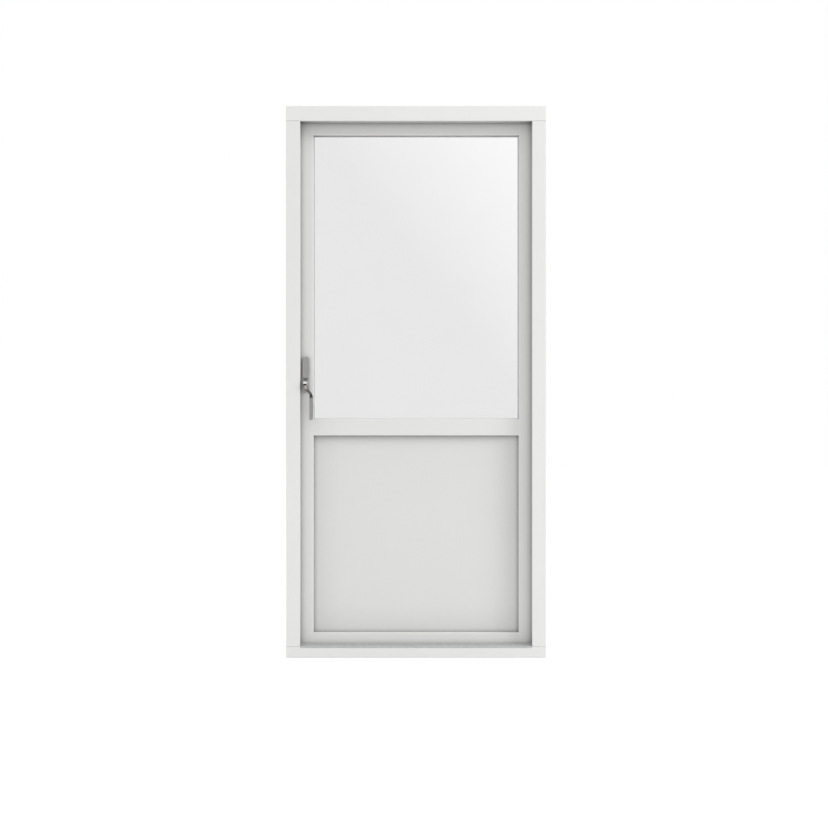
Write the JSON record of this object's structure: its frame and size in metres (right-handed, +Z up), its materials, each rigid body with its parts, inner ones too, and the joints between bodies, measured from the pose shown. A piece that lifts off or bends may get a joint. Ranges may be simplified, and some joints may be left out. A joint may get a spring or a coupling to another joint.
{
  "type": "glazed patio door",
  "caption": "Outward-opening patio door leaf in its timber frame: double glazing over a recessed panel, side hinges, lever handle, sill and threshold.",
  "frame": {"origin": "middle of the sill's flat underside, halfway through the frame's depth", "axes": "+X to the right seen from inside (hinge side), +Y outdoors, +Z up"},
  "size_m": [0.986, 0.139, 2.08],
  "materials": {
    "frame_paint": "satin white paint",
    "leaf_paint": "satin white paint",
    "panel_paint": "smooth satin white paint",
    "glass": "clear float glass",
    "spacer_aluminium": "mill finish",
    "glazing_gasket": "matt",
    "weatherstrip": "matt",
    "threshold_aluminium": "satin anodised",
    "hinge_steel": "zinc plated",
    "lock_steel": "zinc plated",
    "handle_metal": "satin nickel",
    "sleeve_steel": "zinc plated"
  },
  "bodies": {
    "frame": {"frame_head": "frame_paint", "frame_jamb_lock_side": "frame_paint", "frame_jamb_hinge_side": "frame_paint", "frame_sill": "frame_paint", "threshold_profile": "threshold_aluminium", "frame_weatherstrip": "weatherstrip", "fixing_sleeves": "sleeve_steel", "strike_plate_top": "lock_steel", "strike_plate_middle": "lock_steel", "strike_plate_bottom": "lock_steel", "hinge_top_frame_plate": "hinge_steel", "hinge_top_pin": "hinge_steel", "hinge_middle_frame_plate": "hinge_steel", "hinge_middle_pin": "hinge_steel", "hinge_bottom_frame_plate": "hinge_steel", "hinge_bottom_pin": "hinge_steel"},
    "leaf": {"leaf_stile_lock_side": "leaf_paint", "leaf_stile_hinge_side": "leaf_paint", "leaf_top_rail": "leaf_paint", "leaf_mid_rail": "leaf_paint", "leaf_bottom_rail": "leaf_paint", "glass_inner_pane": "glass", "glass_outer_pane": "glass", "glass_spacer_bar": "spacer_aluminium", "glazing_gasket_inner": "glazing_gasket", "glazing_gasket_outer": "glazing_gasket", "panel_inner_board": "panel_paint", "panel_outer_board": "panel_paint", "drip_rail": "threshold_aluminium", "lock_faceplate": "lock_steel", "handle_backplate": "handle_metal", "handle_cover": "handle_metal", "hinge_top_leaf_plate": "hinge_steel", "hinge_middle_leaf_plate": "hinge_steel", "hinge_bottom_leaf_plate": "hinge_steel", "glass_bead_lock_side": "leaf_paint", "panel_bead_lock_side": "panel_paint", "glass_bead_hinge_side": "leaf_paint", "panel_bead_hinge_side": "panel_paint", "glass_bead_top": "leaf_paint", "panel_bead_top": "panel_paint", "glass_bead_bottom": "leaf_paint", "panel_bead_bottom": "panel_paint"},
    "handle": {"handle_lever": "handle_metal", "handle_spindle": "lock_steel"}
  },
  "joints": [
    {"name": "leaf_swing", "type": "hinge", "parent": "frame", "child": "leaf", "pos_m": [0.4515, 0.061, 1.02], "axis": [0, 0, -1], "range_deg": [0, 90]},
    {"name": "handle_turn", "type": "hinge", "parent": "leaf", "child": "handle", "pos_m": [-0.418, -0.015, 1.035], "axis": [0, -1, 0], "range_deg": [0, 90]}
  ]
}
